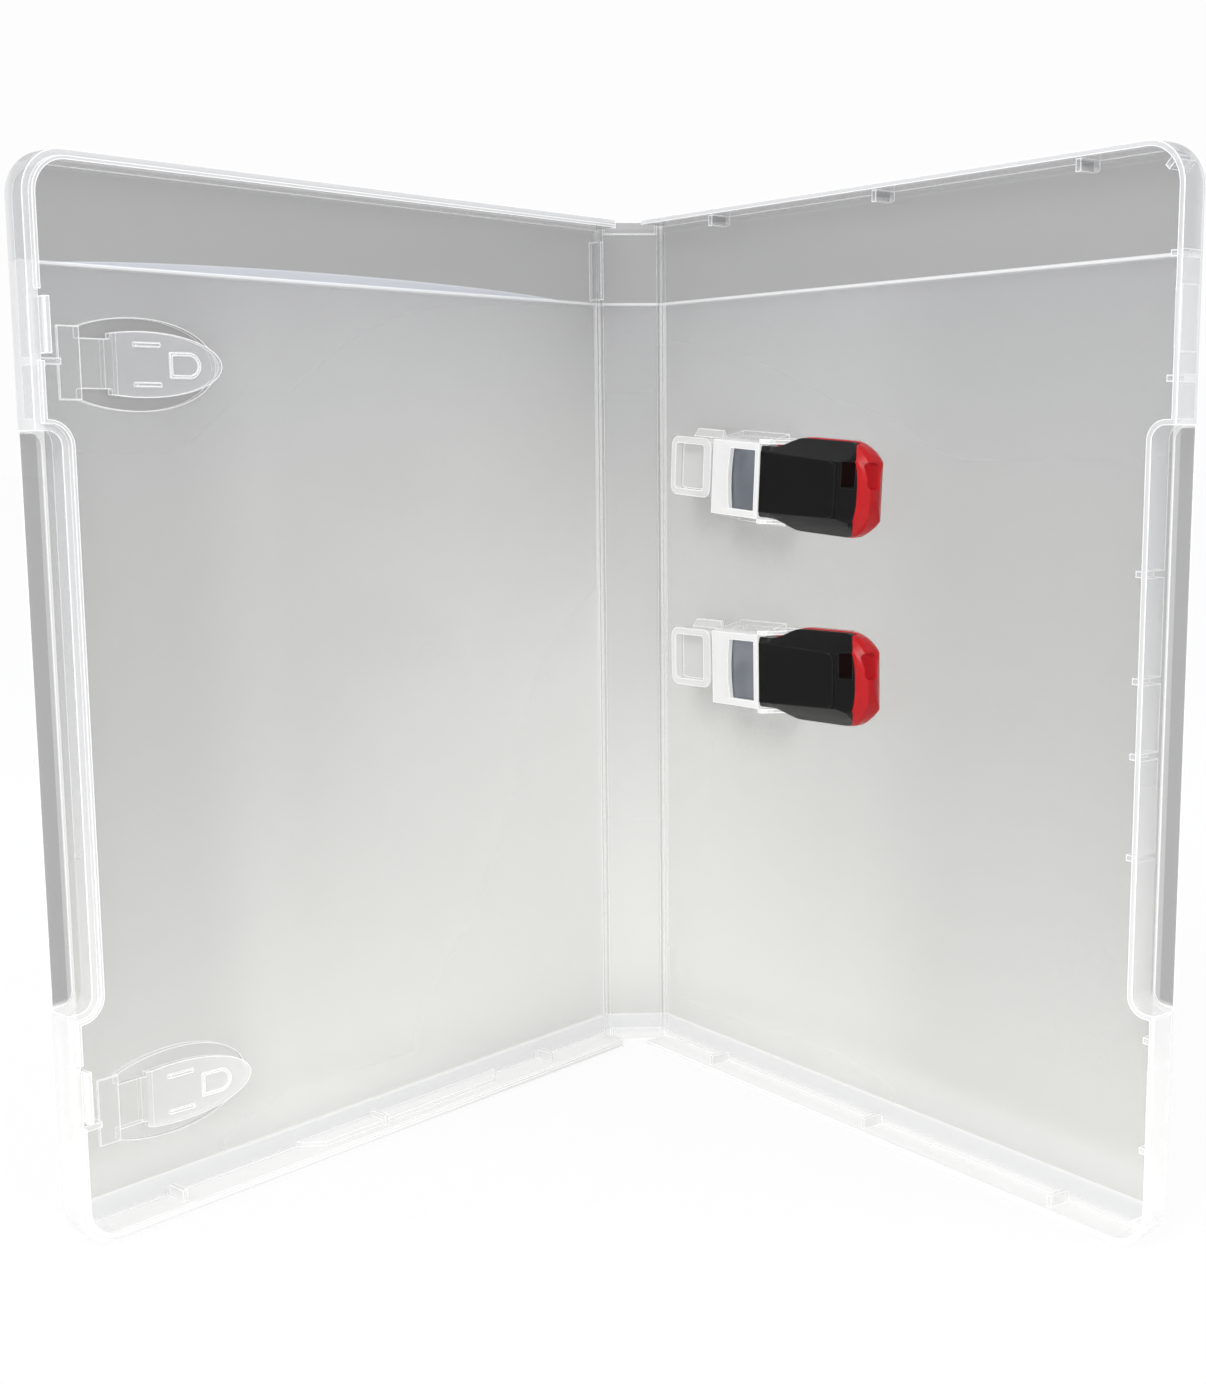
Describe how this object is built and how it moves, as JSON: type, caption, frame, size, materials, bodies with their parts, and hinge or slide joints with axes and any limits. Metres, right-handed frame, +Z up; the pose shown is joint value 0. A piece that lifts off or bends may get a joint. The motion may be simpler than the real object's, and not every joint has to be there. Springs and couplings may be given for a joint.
{
  "type": "flash drive case",
  "caption": "Clear plastic book-style case standing open, with moulded sockets holding flash drives, booklet clips and an outer sleeve.",
  "frame": {"origin": "on the ground plane, at the bottom centre of the bounding box of the case as it stands open", "axes": "+Z up along the hinges, +X from the front cover towards the back cover, +Y from the open side towards the spine"},
  "size_m": [0.1772, 0.1112, 0.1715],
  "materials": {
    "clear_plastic": "clear, slightly milky moulded polypropylene",
    "sleeve_film": "clear soft film, glossy",
    "black_shell": "satin black moulded plastic",
    "red_shell": "glossy red moulded plastic",
    "plug_metal": "nickel-plated sheet metal",
    "contact_block": "matt dark plastic with contact strips",
    "circuit_board": "green solder mask",
    "chip": "matt black epoxy"
  },
  "bodies": {
    "spine_body": {"spine": "clear_plastic", "spine_sleeve": "sleeve_film"},
    "front_body": {"front_cover": "clear_plastic", "front_sleeve": "sleeve_film"},
    "back_body": {"back_cover": "clear_plastic", "back_sleeve": "sleeve_film", "upper_drive_cover": "black_shell", "upper_drive_base": "red_shell", "upper_drive_plug": "plug_metal", "upper_drive_contacts": "contact_block", "upper_drive_board": "circuit_board", "upper_drive_memory": "chip", "upper_drive_controller": "chip", "lower_drive_cover": "black_shell", "lower_drive_base": "red_shell", "lower_drive_plug": "plug_metal", "lower_drive_contacts": "contact_block", "lower_drive_board": "circuit_board", "lower_drive_memory": "chip", "lower_drive_controller": "chip"}
  },
  "joints": [
    {"name": "front_hinge", "type": "hinge", "parent": "spine_body", "child": "front_body", "pos_m": [-0.00005, 0.05502, 0.08575], "axis": [0, 0, 1], "range_deg": [-47, 43]},
    {"name": "back_hinge", "type": "hinge", "parent": "spine_body", "child": "back_body", "pos_m": [0.01325, 0.05502, 0.08575], "axis": [0, 0, -1], "range_deg": [-54.5, 35.5]}
  ]
}
